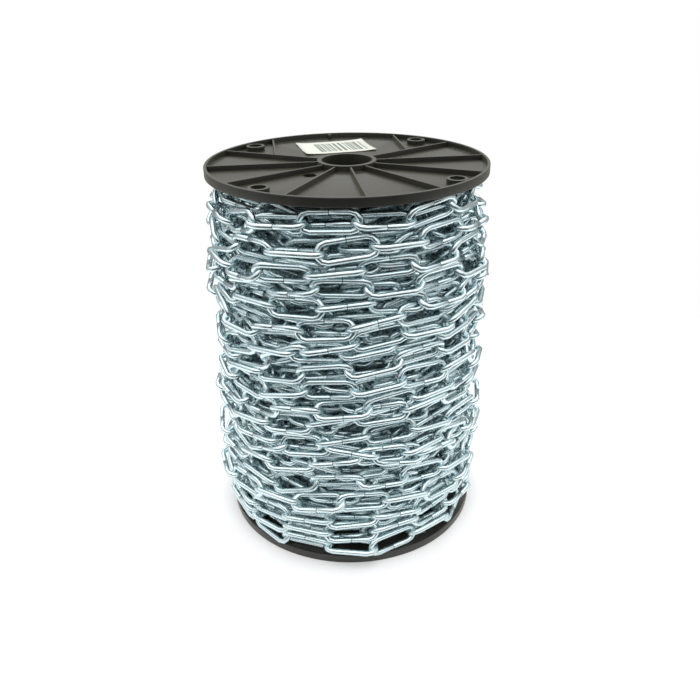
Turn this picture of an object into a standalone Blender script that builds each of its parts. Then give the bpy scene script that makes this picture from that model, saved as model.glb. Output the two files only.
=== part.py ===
"""A full reel of zinc-plated long-link steel chain, standing on end.

Two equal moulded flanges sit on a plain barrel. The chain is wound between
them, and its outer turns slope, sag and cross a little, as they do on a full
reel. The outer layer is one solid with the gaps between the links cut in, and
the hidden layers are one plain core.

Units are metres, +Z is up. The origin is the centre of the ring that the
reel stands on, so the reel's axis is the Z axis.
"""

import math

import bmesh
import bpy
from mathutils import Matrix, Vector

# Reel
FLANGE_DIAMETER = 0.190
REEL_HEIGHT = 0.266
RIM_HEIGHT = 0.006
RIM_WALL = 0.002
WEB_THICKNESS = 0.002
RIB_THICKNESS = 0.0016
RIB_SINK = 0.0006
SPINDLE_BORE = 0.034
HUB_DIAMETER = 0.040
BARREL_DIAMETER = 0.086
BARREL_WALL = 0.003
FLANGE_STEPS = 64

# Ribs, bosses and holes of a flange, about the middle line of its label bay
BAY_ANGLE = math.radians(97)
BAY_HALF_WIDTH = 0.0465
RADIAL_RIB_ANGLES = [math.radians(a) for a in (60, 90, 120, 150, 180, 210, 240, 270, 300)]
BOSS_ANGLES = [math.radians(a) for a in (45, 135, 225, 315)]
BOSS_RADIUS = 0.085
BOSS_DIAMETER = 0.0135
BOSS_BORE = 0.0095
TIE_HOLE_ANGLE = math.radians(131.5)
TIE_HOLE_RADIUS = 0.036
TIE_HOLE_DIAMETER = 0.009

# Label
LABEL_LENGTH = 0.052
LABEL_WIDTH = 0.040
LABEL_THICKNESS = 0.0003
LABEL_CENTRE = (-0.0083, 0.0578)
LABEL_TURN = math.radians(15)

# Chain: wire 4 mm, inside length 32 mm. A flat link shows 12.5 mm of its
# 16 mm width, because the next turns lie on its sides.
CHAIN_WIRE = 0.004
LINK_PITCH = 0.032
FLAT_LINK_LENGTH = 0.030
FLAT_LINK_WIDTH = 0.0125
FLAT_LINK_EYE = (0.018, 0.007)
UPRIGHT_LINK_LENGTH = 0.0325
LINK_OVERLAP = 0.0008
LAYER_TOP_GAP = 0.003
LAYER_INNER_RADIUS = 0.0825
LINK_ROOT_RADIUS = 0.0845
LAYER_BASE_RADIUS = 0.0875
JOINT_RADIUS = 0.0915
FLAT_LINK_CREST = 0.0020
UPRIGHT_LINK_CREST = 0.0065
WINDING_STEPS = 32

# The outer turns from the top down. Each has the angle of its fourth joint
# from the front of the reel, in degrees, how far it rides above the layer,
# whether its first link lies flat, and the heights of its seven front joints.
OUTER_TURNS = [
    (4, 0.001, False, (0.236, 0.240, 0.248, 0.248, 0.251, 0.252, 0.252)),
    (-8, 0.002, True, (0.220, 0.226, 0.231, 0.234, 0.235, 0.235, 0.235)),
    (5, 0.000, True, (0.211, 0.215, 0.218, 0.219, 0.220, 0.221, 0.221)),
    (8, 0.000, False, (0.200, 0.204, 0.208, 0.208, 0.208, 0.207, 0.205)),
    (10, 0.001, True, (0.189, 0.193, 0.197, 0.198, 0.197, 0.196, 0.193)),
    (1, 0.001, False, (0.178, 0.177, 0.182, 0.184, 0.187, 0.189, 0.190)),
    (-2, -0.001, False, (0.157, 0.161, 0.165, 0.168, 0.170, 0.170, 0.169)),
    (3, 0.003, True, (0.146, 0.152, 0.165, 0.179, 0.184, 0.186, 0.187)),
    (-1, 0.000, False, (0.135, 0.142, 0.149, 0.158, 0.160, 0.159, 0.157)),
    (2, 0.000, False, (0.124, 0.131, 0.138, 0.143, 0.145, 0.143, 0.140)),
    (8, 0.000, True, (0.112, 0.119, 0.126, 0.131, 0.132, 0.130, 0.127)),
    (3, 0.002, True, (0.099, 0.104, 0.111, 0.122, 0.126, 0.123, 0.119)),
    (7, 0.000, True, (0.088, 0.093, 0.101, 0.105, 0.103, 0.100, 0.098)),
    (10, 0.002, True, (0.078, 0.088, 0.105, 0.091, 0.080, 0.075, 0.072)),
    (4, 0.000, True, (0.066, 0.073, 0.083, 0.088, 0.086, 0.082, 0.079)),
    (5, 0.000, False, (0.055, 0.062, 0.070, 0.075, 0.070, 0.062, 0.056)),
    (-3, 0.001, True, (0.042, 0.047, 0.055, 0.057, 0.050, 0.050, 0.046)),
    (11, 0.000, False, (0.031, 0.034, 0.038, 0.041, 0.038, 0.034, 0.030)),
    (10, 0.000, False, (0.022, 0.024, 0.026, 0.028, 0.025, 0.022, 0.020)),
    (9, -0.001, True, (0.014, 0.014, 0.014, 0.014, 0.014, 0.014, 0.014)),
]
FRONT_JOINTS = 7

# The chain's first links, behind the reel under the top flange
LEAD_LINKS = 9
LEAD_HEIGHT = 0.2505

# Gap between solids that touch on the real object
SEAT_GAP = 0.0003
# How far a cutter or a joined shape runs past the face that it crosses
OVERRUN = 0.001

PARTS_NAME = "chain_reel"
CUTTERS_NAME = "chain_reel_cutters"


def clear_scene():
    """Remove every object that the file opened with."""
    for obj in list(bpy.data.objects):
        bpy.data.objects.remove(obj, do_unlink=True)


def new_collection(name):
    """Add a collection to the scene."""
    collection = bpy.data.collections.new(name)
    bpy.context.scene.collection.children.link(collection)
    return collection


def make_material(name, colour, roughness, metallic):
    """Make a plain Principled material."""
    material = bpy.data.materials.new(name)
    material.use_nodes = True
    shader = material.node_tree.nodes["Principled BSDF"]
    shader.inputs["Base Color"].default_value = (*colour, 1.0)
    shader.inputs["Roughness"].default_value = roughness
    shader.inputs["Metallic"].default_value = metallic
    return material


def add_object(name, mesh, collection, material=None):
    """Link a mesh to a collection as a named object."""
    obj = bpy.data.objects.new(name, mesh)
    collection.objects.link(obj)
    if material:
        mesh.materials.append(material)
    return obj


def add_turned(name, profile, steps, collection, material=None):
    """Turn a closed (radius, height) profile about Z with a Screw modifier.

    The profile runs down its outer side, from top to bottom.
    """
    mesh = bpy.data.meshes.new(name)
    points = [(radius, 0.0, height) for radius, height in profile]
    edges = [(i, (i + 1) % len(points)) for i in range(len(points))]
    mesh.from_pydata(points, edges, [])
    obj = add_object(name, mesh, collection, material)
    screw = obj.modifiers.new("turn", "SCREW")
    screw.axis = "Z"
    screw.angle = math.tau
    screw.steps = steps
    screw.render_steps = steps
    screw.use_merge_vertices = True
    screw.merge_threshold = 0.00005
    return obj


def add_box(mesh_data, size, matrix):
    """Add a box of the given size to a bmesh, placed by a matrix."""
    scale = Matrix.Diagonal((*size, 1.0))
    bmesh.ops.create_cube(mesh_data, size=1.0, matrix=matrix @ scale)


def mesh_from(mesh_data, name):
    """Turn a bmesh into a mesh and free it."""
    mesh = bpy.data.meshes.new(name)
    mesh_data.to_mesh(mesh)
    mesh_data.free()
    return mesh


def box_tool(name, size, matrix, cutters):
    """Make a box that a Boolean will join or cut."""
    mesh_data = bmesh.new()
    add_box(mesh_data, size, matrix)
    return hide_tool(add_object(name, mesh_from(mesh_data, name), cutters))


def round_tool(name, diameter, bottom, top, x, y, cutters, sides=16):
    """Make an upright cylinder that a Boolean will join or cut."""
    mesh_data = bmesh.new()
    place = Matrix.Translation((x, y, (bottom + top) / 2))
    bmesh.ops.create_cone(
        mesh_data, cap_ends=True, segments=sides, depth=top - bottom,
        radius1=diameter / 2, radius2=diameter / 2, matrix=place)
    return hide_tool(add_object(name, mesh_from(mesh_data, name), cutters))


def hide_tool(obj):
    """Mark an object as a tool that isn't part of the model."""
    obj.hide_render = True
    obj.display_type = "WIRE"
    return obj


def add_boolean(obj, tool, operation):
    """Join or cut an object with a tool."""
    boolean = obj.modifiers.new(tool.name, "BOOLEAN")
    boolean.object = tool
    boolean.operation = operation
    boolean.solver = "EXACT"


def polar(radius, angle):
    """The x and y of a point on a circle about the reel's axis."""
    return radius * math.cos(angle), radius * math.sin(angle)


def rib_tools(cutters):
    """Make the radial ribs and the two straight ribs beside the label bay.

    Heights are from the underside of the web, which is the side of the chain.
    """
    bottom = WEB_THICKNESS - RIB_SINK
    top = RIM_HEIGHT - RIB_SINK
    height = top - bottom
    inner = (SPINDLE_BORE + HUB_DIAMETER) / 4
    outer = (FLANGE_DIAMETER - RIM_WALL) / 2
    tools = []
    for number, angle in enumerate(RADIAL_RIB_ANGLES):
        place = Matrix.Rotation(BAY_ANGLE + angle, 4, "Z")
        place = place @ Matrix.Translation(((inner + outer) / 2, 0, bottom + height / 2))
        size = (outer - inner, RIB_THICKNESS, height)
        tools.append(box_tool(f"rib_{number}", size, place, cutters))
    start = BAY_HALF_WIDTH / math.tan(RADIAL_RIB_ANGLES[0])
    end = math.sqrt(outer ** 2 - BAY_HALF_WIDTH ** 2)
    for side in (-1, 1):
        place = Matrix.Rotation(BAY_ANGLE, 4, "Z")
        place = place @ Matrix.Translation(
            ((start + end) / 2, side * BAY_HALF_WIDTH, bottom + height / 2))
        size = (end - start, RIB_THICKNESS, height)
        tools.append(box_tool(f"bay_rib_{side}", size, place, cutters))
    return tools


def flange_mesh(cutters, material):
    """Model one flange with its web's underside at height 0, and bake it."""
    rim = FLANGE_DIAMETER / 2
    hub = HUB_DIAMETER / 2
    bore = SPINDLE_BORE / 2
    profile = [
        (rim, RIM_HEIGHT), (rim, 0.0), (bore, 0.0), (bore, RIM_HEIGHT),
        (hub, RIM_HEIGHT), (hub, WEB_THICKNESS),
        (rim - RIM_WALL, WEB_THICKNESS), (rim - RIM_WALL, RIM_HEIGHT)]
    flange = add_turned("flange_blank", profile, FLANGE_STEPS, cutters, material)
    joined = rib_tools(cutters)
    cut = []
    for number, angle in enumerate(BOSS_ANGLES):
        x, y = polar(BOSS_RADIUS, BAY_ANGLE + angle)
        joined.append(round_tool(
            f"boss_{number}", BOSS_DIAMETER, WEB_THICKNESS - RIB_SINK,
            RIM_HEIGHT - RIB_SINK, x, y, cutters))
        cut.append(round_tool(
            f"boss_bore_{number}", BOSS_BORE, -OVERRUN,
            RIM_HEIGHT + OVERRUN, x, y, cutters))
    x, y = polar(TIE_HOLE_RADIUS, BAY_ANGLE + TIE_HOLE_ANGLE)
    cut.append(round_tool(
        "tie_hole", TIE_HOLE_DIAMETER, -OVERRUN, RIM_HEIGHT + OVERRUN, x, y, cutters, 12))
    for tool in joined:
        add_boolean(flange, tool, "UNION")
    for tool in cut:
        add_boolean(flange, tool, "DIFFERENCE")
    graph = bpy.context.evaluated_depsgraph_get()
    mesh = bpy.data.meshes.new_from_object(flange.evaluated_get(graph))
    mesh.name = "flange"
    mesh.shade_smooth()
    mesh.set_sharp_from_angle(angle=math.radians(30))
    bpy.data.objects.remove(flange, do_unlink=True)
    return mesh


def add_flanges(parts, cutters, plastic):
    """Place the same moulding at both ends, each with its tray outwards."""
    mesh = flange_mesh(cutters, plastic)
    top = bpy.data.objects.new("top_flange", mesh)
    top.location.z = REEL_HEIGHT - RIM_HEIGHT
    bottom = bpy.data.objects.new("bottom_flange", mesh)
    bottom.location.z = RIM_HEIGHT
    bottom.rotation_euler.x = math.pi
    for obj in (top, bottom):
        parts.objects.link(obj)


def tube_profile(outer, inner, bottom, top):
    """The section of a tube, down its outer side first."""
    return [(outer, top), (outer, bottom), (inner, bottom), (inner, top)]


def add_barrel(parts, plastic):
    """The tube that carries the top flange, hidden inside the winding."""
    outer = BARREL_DIAMETER / 2
    profile = tube_profile(
        outer, outer - BARREL_WALL, RIM_HEIGHT + SEAT_GAP,
        REEL_HEIGHT - RIM_HEIGHT - SEAT_GAP)
    add_turned("barrel", profile, WINDING_STEPS, parts, plastic)


def add_label(parts, paper):
    """The paper label, flat on the web in the bay between the straight ribs."""
    bottom = REEL_HEIGHT - RIM_HEIGHT + WEB_THICKNESS + SEAT_GAP
    mesh_data = bmesh.new()
    add_box(mesh_data, (LABEL_LENGTH, LABEL_WIDTH, LABEL_THICKNESS), Matrix.Identity(4))
    label = add_object("label", mesh_from(mesh_data, "label"), parts, paper)
    label.location = (*LABEL_CENTRE, bottom + LABEL_THICKNESS / 2)
    label.rotation_euler.z = LABEL_TURN


def add_inner_turns(parts, zinc):
    """The hidden layers of the winding, as one plain core round the barrel."""
    profile = tube_profile(
        LAYER_INNER_RADIUS - SEAT_GAP, BARREL_DIAMETER / 2 + SEAT_GAP,
        RIM_HEIGHT + SEAT_GAP, REEL_HEIGHT - RIM_HEIGHT - LAYER_TOP_GAP)
    add_turned("chain_inner_turns", profile, WINDING_STEPS, parts, zinc)


def turn_joints():
    """The joints of the whole outer layer, as (angle, height, radius), and the link kinds.

    The chain starts behind the reel. The seven front joints of a turn are a
    link's length apart. Behind the reel the joints are spread evenly from one
    turn's end to the next's start.
    """
    step = 2 * math.asin(LINK_PITCH / 2 / JOINT_RADIUS)
    lead = math.radians(OUTER_TURNS[0][0] - 90) - (LEAD_LINKS + 1 + FRONT_JOINTS // 2) * step
    joints, flat = [(lead, LEAD_HEIGHT, JOINT_RADIUS)], [True]
    for number, (fourth, ride, first_flat, heights) in enumerate(OUTER_TURNS):
        start = number * math.tau + math.radians(fourth - 90) - (FRONT_JOINTS // 2) * step
        radius = JOINT_RADIUS + ride
        last_angle, last_height, last_radius = joints[-1]
        gap = start - last_angle
        count = round(gap / step)
        for link in range(1, count):
            share = link / count
            joints.append((
                last_angle + gap * share,
                last_height + (heights[0] - last_height) * share,
                last_radius + (radius - last_radius) * share))
        for link in range(count):
            flat.append(not flat[-1])
        for link, height in enumerate(heights):
            joints.append((start + link * step, height, radius))
        flat.extend((link % 2 == 0) == first_flat for link in range(FRONT_JOINTS - 1))
    return joints, flat


def flat_link_mesh(cutters):
    """A flat link's outline with its eye, 1 m thick, from a curve with two closed splines."""
    half, width = FLAT_LINK_LENGTH / 2, FLAT_LINK_WIDTH / 2
    eye_half, eye_width = FLAT_LINK_EYE[0] / 2, FLAT_LINK_EYE[1] / 2
    shoulder = half - width / 2
    outline = [(half, 0), (shoulder, width), (-shoulder, width),
               (-half, 0), (-shoulder, -width), (shoulder, -width)]
    eye = [(eye_half, eye_width), (-eye_half, eye_width),
           (-eye_half, -eye_width), (eye_half, -eye_width)]
    curve = bpy.data.curves.new("flat_link", "CURVE")
    curve.dimensions = "2D"
    curve.fill_mode = "BOTH"
    curve.extrude = 0.5
    for points in (outline, eye):
        spline = curve.splines.new("POLY")
        spline.points.add(len(points) - 1)
        for point, (x, y) in zip(spline.points, points):
            point.co = (x, y, 0.0, 1.0)
        spline.use_cyclic_u = True
    obj = add_object("flat_link_outline", curve, cutters)
    graph = bpy.context.evaluated_depsgraph_get()
    mesh = bpy.data.meshes.new_from_object(obj.evaluated_get(graph))
    bpy.data.objects.remove(obj, do_unlink=True)
    return mesh


def link_place(start, end):
    """The place and axes of a link between two joints: along, across and outwards."""
    points = [Vector((*polar(radius, angle), height)) for angle, height, radius in (start, end)]
    centre = (points[0] + points[1]) / 2
    along = (points[1] - points[0]).normalized()
    outward = Vector((centre.x, centre.y, 0)).normalized()
    across = outward.cross(along).normalized()
    outward = along.cross(across)
    axes = Matrix((along, across, outward)).transposed().to_4x4()
    return Matrix.Translation(centre) @ axes


def footprint(place, lies_flat):
    """Points down the middle of a link, and how far its edge lies from them."""
    length = FLAT_LINK_LENGTH if lies_flat else UPRIGHT_LINK_LENGTH
    reach = FLAT_LINK_WIDTH / 2 if lies_flat else CHAIN_WIRE / 2
    run = length / 2 - reach
    return [place @ Vector((run * share / 4, 0, 0)) for share in range(-4, 5)], reach


def shown_links():
    """The links that show, as (place, lies flat).

    The strands that ride highest come first. A link that runs into one that is
    already placed is hidden under it, and is left out.
    """
    joints, flat = turn_joints()
    links = [(start, end, lies_flat) for start, end, lies_flat in zip(joints, joints[1:], flat)]
    links.sort(key=lambda link: -(link[0][2] + link[1][2]))
    shown, taken = [], []
    for start, end, lies_flat in links:
        place = link_place(start, end)
        points, reach = footprint(place, lies_flat)
        clear = all(
            min((p - q).length for p in points for q in others) > reach + other_reach - LINK_OVERLAP
            for others, other_reach in taken
            if (points[4] - others[4]).length < 2 * LINK_PITCH)
        if clear:
            taken.append((points, reach))
            shown.append((place, lies_flat))
    return shown


def link_tools(cutters):
    """The outer links as one tool: flat ones with their eye, upright ones on edge.

    An upright link stands further out. Each reaches down into the layer's base.
    """
    flat_mesh = flat_link_mesh(cutters)
    mesh_data = bmesh.new()
    links = shown_links()
    for place, lies_flat in links:
        centre = place.translation
        root = LINK_ROOT_RADIUS - math.hypot(centre.x, centre.y)
        crest = FLAT_LINK_CREST if lies_flat else UPRIGHT_LINK_CREST
        place = place @ Matrix.Translation((0, 0, (root + crest) / 2))
        if lies_flat:
            scale = Matrix.Diagonal((1, 1, crest - root, 1))
            link_data = bmesh.new()
            link_data.from_mesh(flat_mesh)
            bmesh.ops.remove_doubles(link_data, verts=link_data.verts, dist=0.00001)
            bmesh.ops.recalc_face_normals(link_data, faces=link_data.faces)
            bmesh.ops.transform(link_data, matrix=place @ scale, verts=link_data.verts)
            placed = mesh_from(link_data, "placed_link")
            mesh_data.from_mesh(placed)
            bpy.data.meshes.remove(placed)
        else:
            add_box(mesh_data, (UPRIGHT_LINK_LENGTH, CHAIN_WIRE, crest - root), place)
    return hide_tool(add_object("link_faces", mesh_from(mesh_data, "link_faces"), cutters))


def add_outer_turns(parts, cutters, zinc):
    """The outer layer of the winding, with gaps between its links, as one solid."""
    bottom = RIM_HEIGHT + SEAT_GAP
    top = REEL_HEIGHT - RIM_HEIGHT - LAYER_TOP_GAP
    profile = tube_profile(LAYER_BASE_RADIUS, LAYER_INNER_RADIUS, bottom, top)
    layer = add_turned("chain_outer_turns", profile, WINDING_STEPS, parts, zinc)
    add_boolean(layer, link_tools(cutters), "UNION")
    layer.modifiers["link_faces"].use_self = True


def main():
    clear_scene()
    parts = new_collection(PARTS_NAME)
    cutters = new_collection(CUTTERS_NAME)
    plastic = make_material("moulded_plastic", (0.018, 0.017, 0.015), 0.42, 0.0)
    paper = make_material("label_paper", (0.78, 0.78, 0.76), 0.7, 0.0)
    zinc = make_material("zinc_plated_steel", (0.55, 0.62, 0.66), 0.28, 1.0)
    add_flanges(parts, cutters, plastic)
    add_barrel(parts, plastic)
    add_label(parts, paper)
    add_inner_turns(parts, zinc)
    add_outer_turns(parts, cutters, zinc)


main()
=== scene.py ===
# %% [markdown]
# # A reel of zinc-plated steel chain
#
# The object is a full reel: two black moulded flanges on a barrel, and about 30 m of long-link
# chain wound between them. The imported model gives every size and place. This script adds what a
# plain solid can't show: real links that hang in each other, the rounded edges of the moulding,
# the paper label, and the finish of each surface.
#
# All lengths are in metres, and +Z is up. Sizes that a maker gives in millimetres are written
# as a number times MM.

# %% Load the frame
import math

import bpy
import numpy as np
from mathutils import Matrix, Vector


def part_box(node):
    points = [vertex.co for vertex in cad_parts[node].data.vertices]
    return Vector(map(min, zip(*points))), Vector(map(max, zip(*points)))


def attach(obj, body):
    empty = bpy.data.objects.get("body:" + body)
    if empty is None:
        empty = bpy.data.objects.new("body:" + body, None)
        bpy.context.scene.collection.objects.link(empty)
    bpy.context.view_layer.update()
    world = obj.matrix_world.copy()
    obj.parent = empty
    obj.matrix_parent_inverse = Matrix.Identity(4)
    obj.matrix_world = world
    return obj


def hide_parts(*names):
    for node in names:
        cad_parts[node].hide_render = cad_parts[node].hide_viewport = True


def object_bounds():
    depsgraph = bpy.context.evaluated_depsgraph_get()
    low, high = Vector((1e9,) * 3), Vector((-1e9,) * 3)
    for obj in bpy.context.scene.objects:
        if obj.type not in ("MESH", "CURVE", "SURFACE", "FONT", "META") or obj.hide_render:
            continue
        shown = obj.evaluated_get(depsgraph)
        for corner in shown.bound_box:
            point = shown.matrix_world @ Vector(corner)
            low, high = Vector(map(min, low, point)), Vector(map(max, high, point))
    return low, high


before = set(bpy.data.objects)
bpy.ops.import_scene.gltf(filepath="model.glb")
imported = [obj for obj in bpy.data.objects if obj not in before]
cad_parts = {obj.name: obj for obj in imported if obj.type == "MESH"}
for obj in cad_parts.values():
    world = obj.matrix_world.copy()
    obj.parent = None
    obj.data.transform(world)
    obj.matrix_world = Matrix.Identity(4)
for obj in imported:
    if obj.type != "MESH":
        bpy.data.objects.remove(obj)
cad_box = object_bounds()
MM = 0.001
print("nodes:", sorted(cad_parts))

# %% [markdown]
# ## Small helpers
#
# Colours are written as sRGB hex values, as a paint card gives them, and one function turns them
# to the linear values that a shader works with. One function adds a node with its settings and
# links, and one puts computed arrays into a mesh.

# %% Helpers
SMOOTH_LIMIT = math.radians(35)


def linear(hex_code):
    """sRGB hex to linear RGBA: c / 12.92 below 0.04045, else ((c + 0.055) / 1.055) ** 2.4."""
    codes = np.array([int(hex_code[i:i + 2], 16) for i in (1, 3, 5)]) / 255
    values = np.where(codes <= 0.04045, codes / 12.92, ((codes + 0.055) / 1.055) ** 2.4)
    return (*values.tolist(), 1.0)


def add_node(tree, kind, settings=None, inputs=None):
    """Add a shader node, set its properties, and set or link its inputs by name or number."""
    node = tree.nodes.new(kind)
    for name, value in (settings or {}).items():
        setattr(node, name, value)
    for key, value in (inputs or {}).items():
        socket = node.inputs[key]
        if isinstance(value, bpy.types.NodeSocket):
            tree.links.new(value, socket)
        else:
            socket.default_value = value
    return node


def new_material(name):
    """An empty node material with its output, ready for a shader."""
    material = bpy.data.materials.new(name)
    material.use_nodes = True
    tree = material.node_tree
    tree.nodes.clear()
    output = tree.nodes.new("ShaderNodeOutputMaterial")
    return material, tree, output


def new_object(name, points, faces):
    """Put arrays of points and faces into a mesh object at the origin."""
    mesh = bpy.data.meshes.new(name)
    mesh.from_pydata(points.tolist(), [], faces.tolist() if hasattr(faces, "tolist") else faces)
    piece = bpy.data.objects.new(name, mesh)
    bpy.context.scene.collection.objects.link(piece)
    return piece


def finish_piece(piece, material):
    """Give a piece its material, and shade it smooth but for its real corners."""
    piece.data.materials.clear()
    piece.data.materials.append(material)
    piece.data.shade_smooth()
    piece.data.set_sharp_from_angle(angle=SMOOTH_LIMIT)
    print(piece.name, len(piece.data.polygons), "faces")
    return piece


def unit(vectors):
    """Vectors divided by their own length."""
    return vectors / np.linalg.norm(vectors, axis=-1, keepdims=True)


# %% [markdown]
# ## Camera
#
# The photograph was taken from about half a metre, a little above the reel. The camera circles
# the middle of the reel, so its place follows from a distance and a height angle. A lens of
# 37 mm, a slight roll and a small shift set the flanges' outlines where the photograph has them.

# %% Camera
CAMERA_DISTANCE = 0.5470
CAMERA_HEIGHT_ANGLE = math.radians(26.27)
CAMERA_ROLL = math.radians(-0.84)
CAMERA_LENS = 37.44
CAMERA_SHIFT = (0.0009, -0.0184)

middle = Vector((0, 0, (cad_box[0][2] + cad_box[1][2]) / 2))
camera_data = bpy.data.cameras.new("camera")
camera_data.lens = CAMERA_LENS
camera_data.sensor_width = 36
camera_data.shift_x, camera_data.shift_y = CAMERA_SHIFT
camera = bpy.data.objects.new("camera", camera_data)
bpy.context.scene.collection.objects.link(camera)
camera.matrix_world = (
    Matrix.Translation(middle)
    @ Matrix.Rotation(math.pi / 2 - CAMERA_HEIGHT_ANGLE, 4, "X")
    @ Matrix.Translation((0, 0, CAMERA_DISTANCE))
    @ Matrix.Rotation(CAMERA_ROLL, 4, "Z"))
bpy.context.scene.camera = camera
print("camera at", [round(v, 4) for v in camera.matrix_world.translation])

# %% [markdown]
# ## Finish: zinc-plated steel
#
# Zinc plating over drawn wire is a bright metal with a faint blue cast. It is smooth enough to
# mirror lights as long streaks, with a cloudy mottle where the plating is thinner. So the shader
# is a plain metal, and noise on the object's coordinates changes its tint and roughness. An
# attribute on the links marks the butt joint, where the plating is thin and dirt sits.

# %% Zinc-plated steel
ZINC_LIGHT = "#e3f1f3"
ZINC_BLUE = "#c8dde2"
ZINC_JOINT = "#3c4549"
MOTTLE_MM = 5.0
GRAIN_MM = 0.5
GRAIN_DEPTH = 0.02 * MM


def zinc_plated_steel():
    """Bright zinc over drawn steel wire."""
    material, tree, output = new_material("zinc_plated_steel")
    place = add_node(tree, "ShaderNodeTexCoord").outputs["Object"]
    mottle = add_node(tree, "ShaderNodeTexNoise", {}, {
        "Vector": place, "Scale": 1 / (MOTTLE_MM * MM), "Detail": 3.0, "Roughness": 0.6})
    grain = add_node(tree, "ShaderNodeTexNoise", {}, {
        "Vector": place, "Scale": 1 / (GRAIN_MM * MM), "Detail": 2.0})
    tint = add_node(tree, "ShaderNodeMix", {"data_type": "RGBA"}, {
        "Factor": mottle.outputs["Fac"], 6: linear(ZINC_BLUE), 7: linear(ZINC_LIGHT)})
    joint = add_node(tree, "ShaderNodeAttribute", {"attribute_name": "joint"}).outputs["Fac"]
    colour = add_node(tree, "ShaderNodeMix", {"data_type": "RGBA"}, {
        "Factor": joint, 6: tint.outputs[2], 7: linear(ZINC_JOINT)})
    rough = add_node(tree, "ShaderNodeMapRange", {}, {
        "Value": mottle.outputs["Fac"], "From Min": 0.3, "From Max": 0.7,
        "To Min": 0.16, "To Max": 0.32})
    bump = add_node(tree, "ShaderNodeBump", {}, {
        "Height": grain.outputs["Fac"], "Strength": 0.15, "Distance": GRAIN_DEPTH})
    shader = add_node(tree, "ShaderNodeBsdfPrincipled", {}, {
        "Base Color": colour.outputs[2], "Metallic": 1.0,
        "Roughness": rough.outputs["Result"], "Normal": bump.outputs["Normal"]})
    tree.links.new(shader.outputs["BSDF"], output.inputs["Surface"])
    return material


zinc = zinc_plated_steel()
print("finish:", zinc.name)

# %% [markdown]
# ## The path of the chain
#
# A chain under tension is a row of stiff links, each a fixed pitch long, joined where two bends
# touch. So the whole winding is a list of joints, one pitch apart, and for each link a roll: how
# far its plane is turned about the chain, from 0 where it lies flat on the winding. The next
# link is always about a quarter turn further, as chain hangs.
#
# The hidden layers start as a helix round the axis with some unevenness. The winding isn't
# round: it narrows under the top flange, and bulges lower on the left. So each row of the side
# profile gives a height and how far the left and right sides stand out there, in millimetres.

# %% Chain sizes and a plain layer
WIRE = 4.0 * MM
PITCH = 32.0 * MM
LINK_WIDTH = 16.0 * MM
BEND_RADIUS = (LINK_WIDTH - WIRE) / 2
STRAIGHT_HALF = (PITCH + WIRE) / 2 - BEND_RADIUS
HIDDEN_TURNS = 21
HIDDEN_RADII = (74 * MM, 83.5 * MM)
HIDDEN_TOP = 0.7
CORE_RADIUS = 66 * MM
SIDE_PROFILE = [
    (10, -1, -3), (30, 2, -4), (50, 3, -2), (80, 5, -2), (100, 5, 0), (125, 3, 2), (144, 0, 3),
    (160, 0, -1), (177, 0, -3), (199, 0, 2), (212, -3, 0), (225, -5, -9), (245, -7, -12)]
SEED = 7

rng = np.random.default_rng(SEED)
winding_low, winding_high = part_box("bottom_flange")[1].z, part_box("top_flange")[0].z
print("winding space", round(winding_low, 4), "to", round(winding_high, 4))


def wander(count, spacing, size):
    """Smooth random values: one random number every few links, with straight lines between."""
    knots = rng.normal(size=int(count / spacing) + 3)
    return size * np.interp(np.arange(count) / spacing, np.arange(len(knots)), knots)


def around_axis(reach, angle, height):
    """Points from a distance to the axis, an angle and a height: (r cos a, r sin a, z)."""
    return np.stack([reach * np.cos(angle), reach * np.sin(angle), height], -1)


def side_reach(angle, height):
    """How far the winding stands out at a place: cos(angle)^2 * its side's profile at a height."""
    heights, left, right = np.array(SIDE_PROFILE).T * MM
    left_out, right_out = (np.interp(height, heights, side) for side in (left, right))
    return np.cos(angle) ** 2 * np.where(np.cos(angle) < 0, left_out, right_out)


def across_from_roll(joints, roll):
    """The direction of a link's width: side * cos(roll) + outward * sin(roll)."""
    run = unit(joints[1:] - joints[:-1])
    outward = unit((joints[1:] + joints[:-1]) * (1, 1, 0))
    side = unit(np.cross(outward, run))
    return side * np.cos(roll)[:, None] + np.cross(run, side) * np.sin(roll)[:, None]


def hidden_layer(radius, start_angle, sense, uneven):
    """Joints on a helix, one pitch apart as the crow flies, and each link's width direction.

    The angle from joint to joint is 2 * asin(pitch / 2 / radius).
    """
    step = 2 * math.asin(PITCH / 2 / radius)
    count = int(HIDDEN_TURNS * math.tau / step)
    along = np.arange(count + 1)
    low, high = winding_low + LINK_WIDTH * 0.5, winding_high - LINK_WIDTH * HIDDEN_TOP
    height = low + (high - low) * along / count + wander(count + 1, 3.0, uneven)
    angle = start_angle + sense * along * step
    reach = radius + wander(count + 1, 3.0, uneven * 0.4) + side_reach(angle, height)
    joints = around_axis(reach, angle, height)
    roll = math.pi / 4 + math.pi / 2 * (along[:-1] % 2) + wander(count, 5.0, 0.5)
    return joints, across_from_roll(joints, roll)


layers = [
    hidden_layer(radius, 1.0 + number, 1 if number % 2 == 0 else -1, 2.0 * MM)
    for number, radius in enumerate(HIDDEN_RADII)]
print("links in the hidden layers:", [len(across) for joints, across in layers])
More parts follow.
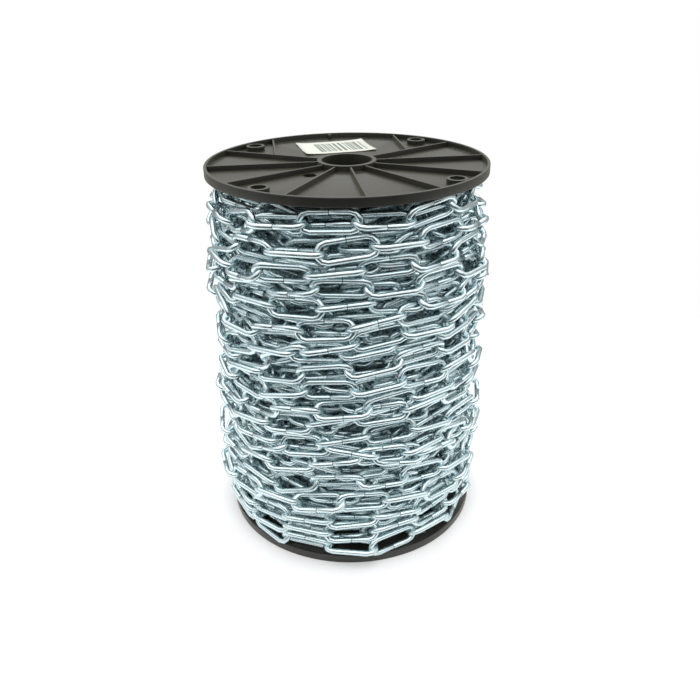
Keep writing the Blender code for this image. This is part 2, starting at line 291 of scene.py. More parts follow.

# %% [markdown]
# ## The outer layer, turn by turn
#
# The outer turns lie unevenly, and their slopes and crossings make the look of this reel. So
# each turn has the heights of its seven front joints, read off the photograph through the
# camera above. The other numbers say where the turn's fourth joint lies from the front of
# the reel, in degrees, how far the turn rides above the layer, in millimetres, and whether its
# first link lies flat on the winding. The imported solid is laid out from the same rows. Behind
# the reel the joints are spread evenly from one turn's end to the next one's start.

# %% Outer layer
JOINT_RADIUS = 91.5 * MM
LEAD_LINKS = 9
LEAD_HEIGHT = 250.5 * MM
FRONT_JOINTS = 7
LEAN = math.radians(18)
SLACK_LINKS = 0.15
OUTER_TURNS = [
    (4, 1, False, (236, 240, 248, 248, 251, 252, 252)),
    (-8, 2, True, (220, 226, 231, 234, 235, 235, 235)),
    (5, 0, True, (211, 215, 218, 219, 220, 221, 221)),
    (8, 0, False, (200, 204, 208, 208, 208, 207, 205)),
    (10, 1, True, (189, 193, 197, 198, 197, 196, 193)),
    (1, 1, False, (178, 177, 182, 184, 187, 189, 190)),
    (-2, -1, False, (157, 161, 165, 168, 170, 170, 169)),
    (3, 3, True, (146, 152, 165, 179, 184, 186, 187)),
    (-1, 0, False, (135, 142, 149, 158, 160, 159, 157)),
    (2, 0, False, (124, 131, 138, 143, 145, 143, 140)),
    (8, 0, True, (112, 119, 126, 131, 132, 130, 127)),
    (3, 2, True, (99, 104, 111, 122, 126, 123, 119)),
    (7, 0, True, (88, 93, 101, 105, 103, 100, 98)),
    (10, 2, True, (78, 88, 105, 91, 80, 75, 72)),
    (4, 0, True, (66, 73, 83, 88, 86, 82, 79)),
    (5, 0, False, (55, 62, 70, 75, 70, 62, 56)),
    (-3, 1, True, (42, 47, 55, 57, 50, 50, 46)),
    (11, 0, False, (31, 34, 38, 41, 38, 34, 30)),
    (10, 0, False, (22, 24, 26, 28, 25, 22, 20)),
    (9, -1, True, (14, 14, 14, 14, 14, 14, 14)),
]


def outer_layer():
    """The whole outer chain: its joints, its links' width directions, and the front joints.

    Front joints lie 2 * asin(pitch / 2 / radius) apart. A flat link has roll 0, one on edge a
    quarter turn, and all lean a little.
    """
    step = 2 * math.asin(PITCH / 2 / JOINT_RADIUS)
    half = FRONT_JOINTS // 2
    lead = math.radians(OUTER_TURNS[0][0] - 90) - (LEAD_LINKS + 1 + half) * step
    angles, heights, reaches = [np.array([x]) for x in (lead, LEAD_HEIGHT, JOINT_RADIUS)]
    quarter, anchored = [0], [False]
    for number, (fourth, ride, first_flat, front) in enumerate(OUTER_TURNS):
        angle = number * math.tau + math.radians(fourth - 90) + step * np.arange(-half, half + 1)
        count = round((angle[0] - angles[-1]) / step + SLACK_LINKS)
        share = np.arange(1, count) / count
        reach = JOINT_RADIUS + ride * MM
        between = [
            old[-1] + (new - old[-1]) * share
            for old, new in ((angles, angle[0]), (heights, front[0] * MM), (reaches, reach))]
        angles = np.concatenate([angles, between[0], angle])
        heights = np.concatenate([heights, between[1], np.array(front) * MM])
        reaches = np.concatenate([reaches, between[2], np.full(FRONT_JOINTS, reach)])
        for link in range(count):
            quarter.append(1 - quarter[-1])
        quarter.extend((link % 2 == 1) == first_flat for link in range(FRONT_JOINTS - 1))
        anchored.extend([False] * (count - 1) + [True] * FRONT_JOINTS)
    quarter, anchored = np.array(quarter, float), np.array(anchored)
    loose = np.where(anchored, 0.25, 1.0)
    heights = heights + loose * wander(len(heights), 2.0, 1.5 * MM)
    reaches = reaches + loose * wander(len(reaches), 2.0, 0.8 * MM)
    reaches = reaches + side_reach(angles, heights)
    joints = around_axis(reaches, angles, heights)
    roll = quarter[:len(joints) - 1] * math.pi / 2 + wander(len(joints) - 1, 3.0, LEAN)
    return joints, across_from_roll(joints, roll), anchored


outer_joints, outer_across, outer_anchored = outer_layer()
layers.append((outer_joints, outer_across))
drawn = np.linalg.norm(np.diff(outer_joints, axis=0), axis=-1)
print("outer links:", len(drawn), "drawn", round(drawn.min() / MM, 1), "to",
      round(drawn.max() / MM, 1), "mm long")

# %% [markdown]
# ## Letting the winding settle
#
# A drawn path alone would push wires through each other. So the links settle as they do on the
# winding machine: tension pulls the hidden layers inwards, wires that come closer than one
# wire's thickness push each other apart, and each link keeps its length. The outer joints are
# also drawn back to their place, so the turns stay where the photograph has them. This is
# position-based dynamics, worked out for all links at once. For the contacts a link is eight
# short straight pieces of wire.

# %% Settle the winding
CONTACT_ROUNDS = 180
TENSION_SHARE = 0.75
TENSION_STEP = 0.15 * MM
HOLD_FRONT = 0.12
HOLD_BACK = 0.08
ROLL_INERTIA = 30 * MM * MM
ROLL_RANGE = (math.radians(62), math.radians(118))

bend_turns = np.radians([90, 30, -30, -90])
half_loop = np.stack([
    STRAIGHT_HALF + BEND_RADIUS * np.cos(bend_turns), BEND_RADIUS * np.sin(bend_turns)], -1)
LOOP = np.concatenate([half_loop, -half_loop])


def link_axes(joints, first, broad):
    """Each link's centre, and its unit directions along, across and out of its plane."""
    along = unit(joints[first + 1] - joints[first])
    across = unit(broad - along * (broad * along).sum(-1, keepdims=True))
    centre = (joints[first + 1] + joints[first]) / 2
    return centre, along, across, np.cross(along, across)


def closest_points(start_a, end_a, start_b, end_b):
    """How far along two segments their closest points lie, as shares from 0 to 1."""
    run_a, run_b, between = end_a - start_a, end_b - start_b, start_a - start_b
    aa, bb, ab = (run_a ** 2).sum(-1), (run_b ** 2).sum(-1), (run_a * run_b).sum(-1)
    ac, bc = (run_a * between).sum(-1), (run_b * between).sum(-1)
    spread = aa * bb - ab * ab
    share_a = np.where(spread > 1e-18, (ab * bc - ac * bb) / np.maximum(spread, 1e-18), 0.5)
    free_b = (ab * np.clip(share_a, 0, 1) + bc) / bb
    share_b = np.clip(free_b, 0, 1)
    share_a = np.clip(np.where(free_b == share_b, share_a, (ab * share_b - ac) / aa), 0, 1)
    return share_a, share_b


def near_wires(centre, wire_start, wire_end, row):
    """Pairs of wire pieces close enough to touch soon, apart from those of joined links."""
    links_a, links_b = [], []
    for begin in range(0, len(centre), 256):
        apart = np.linalg.norm(centre[begin:begin + 256, None] - centre[None], axis=-1)
        a, b = np.nonzero(apart < PITCH + 11 * MM)
        a = a + begin
        keep = (b > a + 1) | ((b == a + 1) & (row[a] != row[b]))
        links_a.append(a[keep])
        links_b.append(b[keep])
    a, b = np.concatenate(links_a), np.concatenate(links_b)
    wire_middle = (wire_start + wire_end) / 2
    wire_half = np.linalg.norm(wire_end - wire_start, axis=-1) / 2
    apart = np.linalg.norm(wire_middle[a][:, :, None] - wire_middle[b][:, None], axis=-1)
    reach = wire_half[a][:, :, None] + wire_half[b][:, None] + WIRE + 3 * MM
    pair, piece_a, piece_b = np.nonzero(apart < reach)
    return a[pair], piece_a, b[pair], piece_b


def settle(layers, held):
    """Pull the joints inwards, part the wires that overlap, and keep every link's length."""
    joints = np.concatenate([points for points, broad in layers])
    broad = np.concatenate([broad for points, broad in layers])
    lengths = [len(points) for points, _ in layers]
    starts = np.cumsum([0] + lengths[:-1])
    first = np.concatenate([np.arange(s, s + n - 1) for s, n in zip(starts, lengths)])
    row = np.concatenate([np.full(n - 1, k) for k, n in enumerate(lengths)])
    home, outer = joints[starts[-1]:].copy(), slice(starts[-1], None)
    hold = np.where(held, HOLD_FRONT, HOLD_BACK)[:, None]
    count = len(first)
    joined = np.nonzero(np.diff(first) == 1)[0]
    low, high = winding_low + WIRE / 2, winding_high - WIRE / 2
    for step in range(CONTACT_ROUNDS):
        centre, along, broad, plane = link_axes(joints, first, broad)
        wire_start = (
            centre[:, None] + along[:, None] * LOOP[None, :, :1]
            + broad[:, None] * LOOP[None, :, 1:])
        wire_end = np.roll(wire_start, -1, 1)
        if step % 8 == 0:
            link_a, piece_a, link_b, piece_b = near_wires(centre, wire_start, wire_end, row)
        ends = (wire_start[link_a, piece_a], wire_end[link_a, piece_a],
                wire_start[link_b, piece_b], wire_end[link_b, piece_b])
        share_a, share_b = closest_points(*ends)
        point_a = ends[0] + (ends[1] - ends[0]) * share_a[:, None]
        point_b = ends[2] + (ends[3] - ends[2]) * share_b[:, None]
        gap = np.linalg.norm(point_a - point_b, axis=-1)
        hit = np.nonzero(gap < WIRE)[0]
        away = (point_a - point_b)[hit] / np.maximum(gap[hit], 1e-9)[:, None]
        depth = (WIRE - gap[hit])[:, None]
        links = [link_a[hit], link_b[hit]]
        points = [point_a[hit], point_b[hit]]
        pushes = [away * depth / 2, -away * depth / 2]
        reach = np.linalg.norm(wire_start[..., :2], axis=-1)
        for excess, direction in (
                (CORE_RADIUS + WIRE / 2 - reach, wire_start * (1, 1, 0) / reach[..., None]),
                (low - wire_start[..., 2], np.broadcast_to((0, 0, 1.0), wire_start.shape)),
                (wire_start[..., 2] - high, np.broadcast_to((0, 0, -1.0), wire_start.shape))):
            link, corner = np.nonzero(excess > 0)
            links.append(link)
            points.append(wire_start[link, corner])
            pushes.append(direction[link, corner] * excess[link, corner][:, None])
        link, point, push = (np.concatenate(x) for x in (links, points, pushes))
        arm = point - centre[link]
        far = np.clip((arm * along[link]).sum(-1) / PITCH + 0.5, 0, 1)
        lever = 1 / ((1 - far) ** 2 + far ** 2)
        side = (arm * broad[link]).sum(-1)
        twist = side * (push * plane[link]).sum(-1) / (side ** 2 + ROLL_INERTIA)
        moves, weights = np.zeros_like(joints), np.zeros(len(joints))
        for joint, share in ((first[link], 1 - far), (first[link] + 1, far)):
            np.add.at(moves, joint, push * (share * lever)[:, None])
            np.add.at(weights, joint, share)
        turns = np.bincount(link, twist, count) / np.maximum(np.bincount(link, None, count), 1)
        joints = joints + 1.2 * moves / np.maximum(weights, 1)[:, None]
        broad = broad * np.cos(1.2 * turns)[:, None] + plane * np.sin(1.2 * turns)[:, None]
        centre, along, broad, plane = link_axes(joints, first, broad)
        a, b = joined, joined + 1
        next_broad = unit(broad[b] - along[a] * (broad[b] * along[a]).sum(-1, keepdims=True))
        between = np.arctan2((next_broad * plane[a]).sum(-1), (next_broad * broad[a]).sum(-1))
        wanted = np.clip(np.abs(between), *ROLL_RANGE)
        excess = 0.4 * (np.abs(between) - wanted) * np.sign(between)
        turns = np.bincount(a, excess, count) - np.bincount(b, excess, count)
        broad = broad * np.cos(turns)[:, None] + plane * np.sin(turns)[:, None]
        if step < CONTACT_ROUNDS * TENSION_SHARE:
            slack = 1 - step / (CONTACT_ROUNDS * TENSION_SHARE)
            inner = slice(0, starts[-1])
            reach = np.linalg.norm(joints[inner, :2], axis=-1, keepdims=True)
            joints[inner, :2] *= 1 - TENSION_STEP * slack / reach
            joints[outer] += (home - joints[outer]) * hold * slack
        for sweep in range(4):
            for half in (0, 1):
                near = first[half::2]
                gap_vector = joints[near + 1] - joints[near]
                length = np.linalg.norm(gap_vector, axis=-1, keepdims=True)
                change = gap_vector * (1 - PITCH / length) / 2
                joints[near] += change
                joints[near + 1] -= change
    moved = np.linalg.norm(joints[outer] - home, axis=-1)
    print("wires overlap by", round(depth.mean() / MM, 3), "mm on average,",
          round(depth.max() / MM, 2), "mm at most, at", len(hit), "contacts")
    print("outer joints moved", round(moved.mean() / MM, 1), "mm on average,",
          round(moved[held].mean() / MM, 1), "mm in front")
    return link_axes(joints, first, broad), row


(link_centre, link_along, link_broad, link_plane), link_row = settle(layers, outer_anchored)
print("settled links:", len(link_centre))

# %% [markdown]
# ## The links
#
# A link is a round wire bent to a long loop, with its ends butted in the middle of one side. It
# could be a curve with a bevel, but there are hundreds, so one small loop of faces is worked out
# and placed for all links at once. The wire's centre line is two straight sides and two half
# circles, and the section is a ring of points square to it. A shallow groove is the joint.
# Deeper layers show less, so their links have fewer faces.

# %% Links
JOINT_HALF = 0.45 * MM
JOINT_DEPTH = 0.45 * MM


def grid_faces(rows, columns):
    """Quads of a grid of points that closes on itself both ways."""
    row, column = np.meshgrid(np.arange(rows), np.arange(columns), indexing="ij")
    next_row, next_column = (row + 1) % rows, (column + 1) % columns
    corners = ((row, column), (row, next_column), (next_row, next_column), (next_row, column))
    return np.stack([r * columns + c for r, c in corners], -1).reshape(-1, 4)


def link_shape(sides, bend_points):
    """One link about its own centre, as points (along, across, out of plane) and faces.

    Stations on the centre line: the joint's groove on the far straight side, then the two half
    circles. At each station the ring is centre + r cos(v) * outward + r sin(v) * out of plane.
    """
    turn = np.linspace(math.pi / 2, -math.pi / 2, bend_points)
    right = np.stack([STRAIGHT_HALF + BEND_RADIUS * np.cos(turn), BEND_RADIUS * np.sin(turn)], -1)
    right_out = np.stack([np.cos(turn), np.sin(turn)], -1)
    groove = np.array([-JOINT_HALF, 0.0, JOINT_HALF])
    top = np.stack([groove, np.full(3, BEND_RADIUS)], -1)
    centre = np.concatenate([top, right, -right])
    outward = np.concatenate([np.tile([0.0, 1.0], (3, 1)), right_out, -right_out])
    radius = np.full(len(centre), WIRE / 2)
    radius[1] -= JOINT_DEPTH
    dark = np.zeros(len(centre))
    dark[1] = 1.0
    around = np.arange(sides) * math.tau / sides
    flat = centre[:, None] + outward[:, None] * (radius[:, None] * np.cos(around))[..., None]
    lift = radius[:, None] * np.sin(around)
    points = np.concatenate([flat, lift[..., None]], -1).reshape(-1, 3)
    return points, grid_faces(len(centre), sides), np.repeat(dark, sides)


def add_links(name, pick, sides, bend_points):
    """Place the link shape on every picked link, as one mesh."""
    points, faces, dark = link_shape(sides, bend_points)
    flip = rng.choice([-1.0, 1.0], pick.sum())[:, None]
    axes = np.stack([link_along[pick], link_broad[pick] * flip, link_plane[pick] * flip], 1)
    placed = link_centre[pick][:, None] + np.einsum("pk,lkc->lpc", points, axes)
    offsets = np.arange(pick.sum())[:, None, None] * len(points)
    piece = new_object(name, placed.reshape(-1, 3), (faces[None] + offsets).reshape(-1, 4))
    piece.data.materials.append(zinc)
    piece.data.shade_smooth()
    joint = piece.data.attributes.new("joint", "FLOAT", "POINT")
    joint.data.foreach_set("value", np.tile(dark, pick.sum()).astype(np.float32))
    print(name, pick.sum(), "links of", len(faces), "faces")
    return piece


LAYERS = (("third_chain_layer", 6, 4), ("second_chain_layer", 6, 5), ("outer_chain_layer", 8, 6))
chain_layers = [
    add_links(name, link_row == number, sides, bend_points)
    for number, (name, sides, bend_points) in enumerate(LAYERS)]

# %% [markdown]
# ## The deepest turns
#
# Only glints of the layers further in show between the links. They could be links as well, but
# no eye can tell, so they are one tube round the barrel. Its surface has the ridges of wound
# wire, two crossing waves that run round the reel like the turns above them.

# %% Deepest turns
CORE_ROWS = 120
CORE_COLUMNS = 180
RIDGE_SPACING = 11 * MM
RIDGE_HEIGHT = 2.2 * MM
RIDGE_COUNT = 12


def wound_core(outer, inner):
    """A closed tube: r = outer - depth * (1 - |sin(turns up)| * |sin(links round)|).

    The grid runs round the axis in columns, and up the outside and down the inside in rows.
    """
    low, high = winding_low + 1 * MM, winding_high - 1 * MM
    height = np.concatenate([np.linspace(low, high, CORE_ROWS), [high, low]])
    angle = np.arange(CORE_COLUMNS) * math.tau / CORE_COLUMNS
    up, round_axis = np.meshgrid(height, angle, indexing="ij")
    turns_up = (up / RIDGE_SPACING + np.sin(2 * round_axis)) * math.pi
    links_round = round_axis * RIDGE_COUNT / 2 + turns_up / 3
    ridge = np.abs(np.sin(turns_up)) * np.abs(np.sin(links_round))
    reach = outer - RIDGE_HEIGHT * (1 - ridge)
    reach[-2:] = inner
    points = around_axis(reach, round_axis, up)
    return points.reshape(-1, 3), grid_faces(len(height), CORE_COLUMNS)[:, ::-1]


barrel_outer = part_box("barrel")[1].x
core = finish_piece(
    new_object("deepest_chain_turns", *wound_core(CORE_RADIUS, barrel_outer + 1 * MM)), zinc)

# %% [markdown]
# ## Finish: moulded polystyrene
#
# The flanges are injection-moulded high-impact polystyrene, coloured through with carbon black.
# The polished mould leaves a skin that is dark when looked at from above and mirrors a bright
# room at a low angle, as a clear grey sheen. Its finish is a plain gloss over near-black, with
# a slight haze of handling marks in the roughness and faint flow waves in the surface.

# %% Moulded polystyrene
PLASTIC_BLACK = "#141411"
PLASTIC_DUSTY = "#201f18"
HANDLING_MM = 18.0
FLOW_MM = 35.0
FLOW_DEPTH = 0.05 * MM
POLYSTYRENE_IOR = 1.59
DUST = 0.17
DUST_TINT = "#b5b184"


def moulded_polystyrene():
    """Glossy black plastic with a little haze."""
    material, tree, output = new_material("black_moulded_polystyrene")
    place = add_node(tree, "ShaderNodeTexCoord").outputs["Object"]
    haze = add_node(tree, "ShaderNodeTexNoise", {}, {
        "Vector": place, "Scale": 1 / (HANDLING_MM * MM), "Detail": 6.0, "Roughness": 0.65})
    flow = add_node(tree, "ShaderNodeTexNoise", {}, {
        "Vector": place, "Scale": 1 / (FLOW_MM * MM), "Detail": 1.0})
    colour = add_node(tree, "ShaderNodeMix", {"data_type": "RGBA"}, {
        "Factor": haze.outputs["Fac"], 6: linear(PLASTIC_BLACK), 7: linear(PLASTIC_DUSTY)})
    rough = add_node(tree, "ShaderNodeMapRange", {}, {
        "Value": haze.outputs["Fac"], "From Min": 0.3, "From Max": 0.7,
        "To Min": 0.34, "To Max": 0.44})
    bump = add_node(tree, "ShaderNodeBump", {}, {
        "Height": flow.outputs["Fac"], "Strength": 0.3, "Distance": FLOW_DEPTH})
    shader = add_node(tree, "ShaderNodeBsdfPrincipled", {}, {
        "Base Color": colour.outputs[2], "Roughness": rough.outputs["Result"],
        "IOR": POLYSTYRENE_IOR, "Normal": bump.outputs["Normal"],
        "Sheen Weight": DUST, "Sheen Roughness": 0.5, "Sheen Tint": linear(DUST_TINT)})
    tree.links.new(shader.outputs["BSDF"], output.inputs["Surface"])
    return material


plastic = moulded_polystyrene()
print("finish:", plastic.name)

# %% [markdown]
# ## The flanges
#
# Each flange is a shallow tray: a thin web with a rim, a hub ring round the spindle bore, ribs
# that run out to the rim, and four bored bosses. Moulded edges are never sharp, because the
# mould is, so every outline here has small rounded corners, and they catch the light as thin
# lines. The web, rim and hub are one outline turned about the axis. A rib is an outline carried
# along a line. They are joined, and the holes are cut, with Boolean modifiers, which are exact
# where surfaces run into each other.

# %% Outlines, turned and carried
EDGE = 0.35 * MM
FINE_EDGE = 0.25 * MM
FLANGE_STEPS = 144


def soften(corners, radii, count=4):
    """A closed outline with blended corners: (1-t)^2 a + 2t(1-t) c + t^2 b.

    The points a and b lie on the two edges that meet at corner c, one radius away from it.
    """
    corners = np.array(corners, float)
    reach = np.broadcast_to(radii, len(corners))[:, None]
    a = corners + unit(np.roll(corners, 1, 0) - corners) * reach
    b = corners + unit(np.roll(corners, -1, 0) - corners) * reach
    t = np.linspace(0, 1, count)[None, :, None]
    curve = (1 - t) ** 2 * a[:, None] + 2 * t * (1 - t) * corners[:, None] + t ** 2 * b[:, None]
    return curve.reshape(-1, 2)


def turned(outline, steps, centre=(0, 0)):
    """A closed outline (r, z) turned about an upright line: (r cos a, r sin a, z).

    The outline runs down its outer side, so the faces point outwards.
    """
    angle = np.arange(steps)[:, None] * math.tau / steps
    points = around_axis(outline[:, 0], angle, np.broadcast_to(outline[:, 1], (steps, len(outline))))
    return points.reshape(-1, 3) + (*centre, 0), grid_faces(steps, len(outline))


def carried(outline, start, end):
    """A closed outline (across, z) carried from one point of the web to another, with flat ends."""
    start, end = np.array(start), np.array(end)
    run = unit(end - start)
    across = np.array([-run[1], run[0]])
    flat = outline[:, :1] * across
    points = np.concatenate([
        np.column_stack([place + flat, outline[:, 1]]) for place in (start, end)])
    count = len(outline)
    ring = np.arange(count)
    after = (ring + 1) % count
    sides = np.stack([ring, after, after + count, ring + count], -1).tolist()
    return points, sides + [ring[::-1].tolist(), (ring + count).tolist()]


def gathered(name, shapes):
    """Several closed shapes in one object."""
    points, faces, offset = [], [], 0
    for shape_points, shape_faces in shapes:
        points.append(shape_points)
        faces.extend([[index + offset for index in face] for face in np.array(shape_faces, object)])
        offset += len(shape_points)
    return new_object(name, np.concatenate(points), faces)


# %% One moulding
RIM_HEIGHT = 6 * MM
RIM_WALL = 2 * MM
WEB = 2 * MM
SINK = 0.6 * MM
SLEEVE_DEPTH = 16 * MM
RIB_BASE = 1.6 * MM
RIB_TOP = 1.3 * MM
BORE = 17 * MM
HUB = 20 * MM
BAY_ANGLE = math.radians(97)
BAY_HALF_WIDTH = 46.5 * MM
RIB_ANGLES = np.radians(np.arange(60, 301, 30))
BOSS_ANGLES = np.radians([45, 135, 225, 315])
BOSS_DISTANCE = 85 * MM
BOSS_OUTER, BOSS_INNER = 6.75 * MM, 4.75 * MM
TIE_HOLE = (36 * MM, math.radians(131.5), 4.5 * MM)
GATE = (91.2 * MM, math.radians(1.2), 1.6 * MM)

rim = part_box("top_flange")[1].x
print("flange radius", round(rim, 4))


def on_web(distance, angle):
    """A point of the web from its distance to the axis and its angle from the label bay."""
    return distance * np.cos(BAY_ANGLE + angle), distance * np.sin(BAY_ANGLE + angle)


def moulding():
    """One flange with its web's underside at height 0, as points and faces."""
    body = soften([
        (rim, RIM_HEIGHT), (rim, 0), (HUB, 0), (HUB - 0.4 * MM, -SLEEVE_DEPTH),
        (BORE, -SLEEVE_DEPTH), (BORE, RIM_HEIGHT), (HUB, RIM_HEIGHT), (HUB, WEB),
        (rim - RIM_WALL, WEB), (rim - RIM_WALL, RIM_HEIGHT)],
        np.array([1.6, 1.2, 1.0, 0.4, 0.4, 0.8, 0.8, 0.8, 1.0, 0.9]) * EDGE)
    rib = soften([
        (-RIB_BASE / 2, WEB - SINK), (RIB_BASE / 2, WEB - SINK),
        (RIB_TOP / 2, RIM_HEIGHT - SINK), (-RIB_TOP / 2, RIM_HEIGHT - SINK)], FINE_EDGE)
    low_rib = rib - (0, 0.03 * MM)
    near, far = (BORE + HUB) / 2, rim - RIM_WALL / 2
    shapes = [carried(rib, on_web(near, angle), on_web(far, angle)) for angle in RIB_ANGLES]
    start = BAY_HALF_WIDTH / math.sin(RIB_ANGLES[0])
    end = math.asin(BAY_HALF_WIDTH / far)
    for side in (-1, 1):
        shapes.append(carried(
            low_rib, on_web(start, side * RIB_ANGLES[0]), on_web(far, side * end)))
    boss = soften([
        (BOSS_OUTER, RIM_HEIGHT - SINK), (BOSS_OUTER, WEB - SINK),
        (BOSS_INNER - 1 * MM, WEB - SINK), (BOSS_INNER - 1 * MM, RIM_HEIGHT - SINK)], FINE_EDGE)
    shapes += [turned(boss, 24, on_web(BOSS_DISTANCE, angle)) for angle in BOSS_ANGLES]
    gate = soften([(GATE[2], RIM_HEIGHT - SINK), (GATE[2], WEB - SINK),
                   (0.2 * MM, WEB - SINK), (0.2 * MM, RIM_HEIGHT - SINK)], 0.15 * MM)
    shapes.append(turned(gate, 12, on_web(*GATE[:2])))
    blank = new_object("flange_blank", *turned(body, FLANGE_STEPS))
    hole = [(1, 2 * RIM_HEIGHT), (1, -RIM_HEIGHT), (0.02, -RIM_HEIGHT), (0.02, 2 * RIM_HEIGHT)]
    holes = [(BOSS_INNER, on_web(BOSS_DISTANCE, angle)) for angle in BOSS_ANGLES]
    holes.append((TIE_HOLE[2], on_web(*TIE_HOLE[:2])))
    cutters = [turned(np.array(hole) * (size, 1), 24, place) for size, place in holes]
    tools = gathered("ribs_and_bosses", shapes), gathered("holes", cutters)
    for tool, operation in zip(tools, ("UNION", "DIFFERENCE")):
        boolean = blank.modifiers.new(operation.lower(), "BOOLEAN")
        boolean.object = tool
        boolean.operation = operation
        boolean.solver = "EXACT"
        boolean.use_self = True
    graph = bpy.context.evaluated_depsgraph_get()
    mesh = blank.evaluated_get(graph).to_mesh()
    points = np.zeros(len(mesh.vertices) * 3)
    mesh.vertices.foreach_get("co", points)
    faces = [list(polygon.vertices) for polygon in mesh.polygons]
    for obj in (blank, *tools):
        bpy.data.objects.remove(obj, do_unlink=True)
    return points.reshape(-1, 3), faces


flange_points, flange_faces = moulding()
top_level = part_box("top_flange")[0].z
bottom_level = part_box("bottom_flange")[1].z
top_flange = finish_piece(new_object(
    "moulded_top_flange", flange_points + (0, 0, top_level), flange_faces), plastic)
bottom_flange = finish_piece(new_object(
    "moulded_bottom_flange", flange_points * (1, -1, -1) + (0, 0, bottom_level), flange_faces),
    plastic)

# %% Barrel
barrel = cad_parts["barrel"]
for place in barrel.material_slots:
    place.material = plastic

# %% [markdown]
# ## The label
#
# A paper label sits on the web behind the hub. It is stuck down in the middle and its corners
# have come up a little, which a thin bent sheet shows and a flat box doesn't. It is left bare
# of words: plain grey bars stand where a label of this kind has its print. The bars follow the
# sheet's own UV map, so they bend with it.

# %% Label paper
PAPER_WHITE = "#cfd1c6"
PRINT_GREY = "#65726a"
BAR_COUNT = 26
PRINT_AREA = (0.22, 0.93, 0.14, 0.84)


def printed_label_paper():
    """Matt coated paper with a block of plain bars."""
    material, tree, output = new_material("coated_label_paper")
    sheet = add_node(tree, "ShaderNodeUVMap", {"uv_map": "sheet"}).outputs["UV"]
    axes = add_node(tree, "ShaderNodeSeparateXYZ", {}, {"Vector": sheet})
    bars = add_node(tree, "ShaderNodeTexNoise", {"noise_dimensions": "1D"}, {
        "W": axes.outputs["X"], "Scale": float(BAR_COUNT), "Detail": 1.0})
    inked = add_node(tree, "ShaderNodeMapRange", {"interpolation_type": "SMOOTHSTEP"}, {
        "Value": bars.outputs["Fac"], "From Min": 0.47, "From Max": 0.53,
        "To Min": 0.1, "To Max": 1.0}).outputs["Result"]
    for axis, low, high in (("X", *PRINT_AREA[:2]), ("Y", *PRINT_AREA[2:])):
        for limit, operation in ((low, "GREATER_THAN"), (high, "LESS_THAN")):
            inside = add_node(tree, "ShaderNodeMath", {"operation": operation}, {
                0: axes.outputs[axis], 1: limit})
            inked = add_node(tree, "ShaderNodeMath", {"operation": "MULTIPLY"}, {
                0: inked, 1: inside.outputs[0]}).outputs[0]
    colour = add_node(tree, "ShaderNodeMix", {"data_type": "RGBA"}, {
        "Factor": inked, 6: linear(PAPER_WHITE), 7: linear(PRINT_GREY)})
    shader = add_node(tree, "ShaderNodeBsdfPrincipled", {}, {
        "Base Color": colour.outputs[2], "Roughness": 0.6})
    tree.links.new(shader.outputs["BSDF"], output.inputs["Surface"])
    return material


paper = printed_label_paper()
print("finish:", paper.name)

# %% Label sheet
LABEL_SIZE = (52 * MM, 40 * MM)
LABEL_CENTRE = (-8.3 * MM, 57.8 * MM)
LABEL_TURN = math.radians(15)
LABEL_STEPS = (14, 12)
PAPER_THICKNESS = 0.15 * MM
CURL = 0.9 * MM


def label_sheet():
    """A sheet z = level + curl * |u|^4 * |v|^2 over u, v from -1 to 1, and its UV values."""
    u, v = np.meshgrid(*(np.linspace(-1, 1, n) for n in LABEL_STEPS), indexing="ij")
    x, y = u * LABEL_SIZE[0] / 2, v * LABEL_SIZE[1] / 2
    cos, sin = math.cos(LABEL_TURN), math.sin(LABEL_TURN)
    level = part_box("label")[0].z
    points = np.stack([
        LABEL_CENTRE[0] + x * cos - y * sin, LABEL_CENTRE[1] + x * sin + y * cos,
        level + CURL * np.abs(u) ** 4 * v ** 2], -1).reshape(-1, 3)
    rows, columns = LABEL_STEPS
    corner = (np.arange(rows - 1)[:, None] * columns + np.arange(columns - 1)).reshape(-1)
    faces = np.stack([corner, corner + columns, corner + columns + 1, corner + 1], -1)
    uv = np.stack([u, v], -1).reshape(-1, 2) / 2 + 0.5
    return points, faces, uv


label_points, label_faces, label_uv = label_sheet()
label = new_object("paper_label", label_points, label_faces)
label.data.uv_layers.new(name="sheet").data.foreach_set(
    "uv", label_uv[label_faces.reshape(-1)].reshape(-1))
wall = label.modifiers.new("thickness", "SOLIDIFY")
wall.thickness = PAPER_THICKNESS
wall.offset = 1.0
finish_piece(label, paper)

# %% [markdown]
# ## What each piece stands for
#
# Every piece rides on the reel's one body. The link layers, the mouldings and the label take
# the place of their plain solids, which stay in the physics model.

# %% Ride and replace
for piece in (*chain_layers, core):
    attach(piece, "root")
for piece in (top_flange, bottom_flange):
    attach(piece, "root")
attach(label, "root")
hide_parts("chain_outer_turns")
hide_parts("chain_inner_turns")
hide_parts("top_flange")
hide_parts("bottom_flange")
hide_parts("label")

# %% [markdown]
# ## Floor and light
#
# The photograph has a white ground and soft light from all round, with a broad light overhead.
# The wall behind is bright only above the reel, where the flange mirrors it. Lower down it is
# dim, so that the sides of the winding don't flare. The camera's side is dark, and bright metal
# needs that: it gives each wire its thin dark line. The world's brightness follows its
# direction, and the camera sees all of it as white. The floor is a white board that ends in
# front of the camera, so the dark side shows below the horizon too.

# %% Floor
FLOOR_SIDE = 0.6
FLOOR_FRONT = -0.25
FLOOR_BACK = 0.3

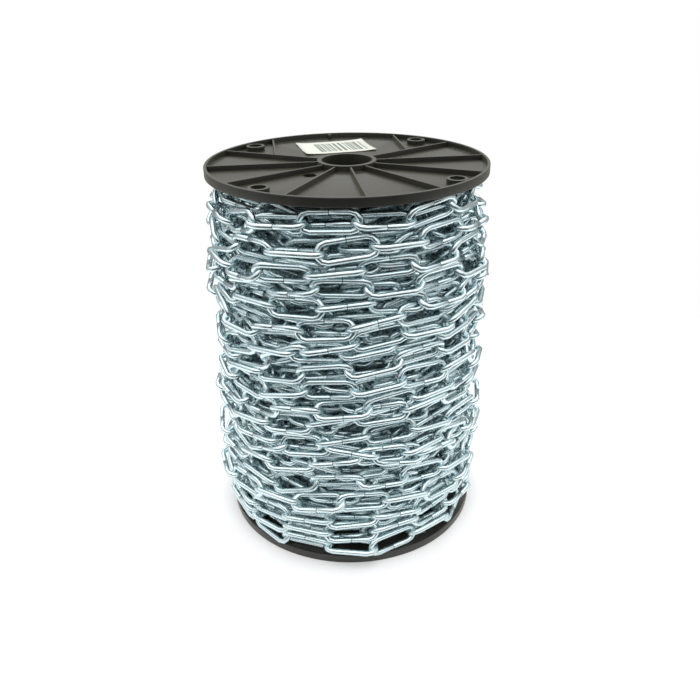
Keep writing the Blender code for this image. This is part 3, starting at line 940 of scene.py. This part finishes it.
floor_material, tree, output = new_material("matt_white_card")
shader = add_node(tree, "ShaderNodeBsdfPrincipled", {}, {
    "Base Color": linear("#fbfbfb"), "Roughness": 0.9})
tree.links.new(shader.outputs["BSDF"], output.inputs["Surface"])
floor = new_object("floor", np.array([
    (-FLOOR_SIDE, FLOOR_FRONT, 0), (FLOOR_SIDE, FLOOR_FRONT, 0),
    (FLOOR_SIDE, FLOOR_BACK, 0), (-FLOOR_SIDE, FLOOR_BACK, 0)]), [(0, 1, 2, 3)])
floor.data.materials.append(floor_material)

# %% Studio light
SIDES = 0.5
LIGHT_ZONES = [
    ("upper walls", 1.0, [("Z", 0.1, 0.45)]),
    ("lower wall behind", 0.4, [("Y", 0.4, 0.7), ("Z", 0.4, 0.25)]),
    ("upper wall behind", 1.8, [("Y", 0.3, 0.7), ("Z", 0.36, 0.48)]),
    ("overhead light", 2.0, [("Z", 0.55, 0.8)]),
    ("dark room round the camera", 0.07, [("Y", -0.4, -0.7), ("Z", 0.35, 0.2)]),
    ("floor below the camera", 0.4, [("Y", -0.4, -0.7), ("Z", -0.35, -0.5)]),
]

world = bpy.data.worlds.new("studio")
bpy.context.scene.world = world
world.use_nodes = True
tree = world.node_tree
tree.nodes.clear()
output = add_node(tree, "ShaderNodeOutputWorld")
direction = add_node(tree, "ShaderNodeTexCoord").outputs["Generated"]
parts = add_node(tree, "ShaderNodeSeparateXYZ", {}, {"Vector": direction})
light = SIDES
for zone, level, edges in LIGHT_ZONES:
    share = 1.0
    for axis, outside, inside in edges:
        edge = add_node(tree, "ShaderNodeMapRange", {"interpolation_type": "SMOOTHSTEP"}, {
            "Value": parts.outputs[axis], "From Min": outside, "From Max": inside})
        share = add_node(tree, "ShaderNodeMath", {"operation": "MULTIPLY"}, {
            0: share, 1: edge.outputs["Result"]}).outputs[0]
    light = add_node(tree, "ShaderNodeMix", {"data_type": "FLOAT"}, {
        "Factor": share, 2: light, 3: level}).outputs[0]
    print("light:", zone, level)
seen = add_node(tree, "ShaderNodeLightPath").outputs["Is Camera Ray"]
strength = add_node(tree, "ShaderNodeMix", {"data_type": "FLOAT"}, {
    "Factor": seen, 2: light, 3: 1.0}).outputs[0]
background = add_node(tree, "ShaderNodeBackground", {}, {
    "Color": linear("#ffffff"), "Strength": strength})
tree.links.new(background.outputs["Background"], output.inputs["Surface"])

bpy.context.scene.view_settings.view_transform = "Standard"
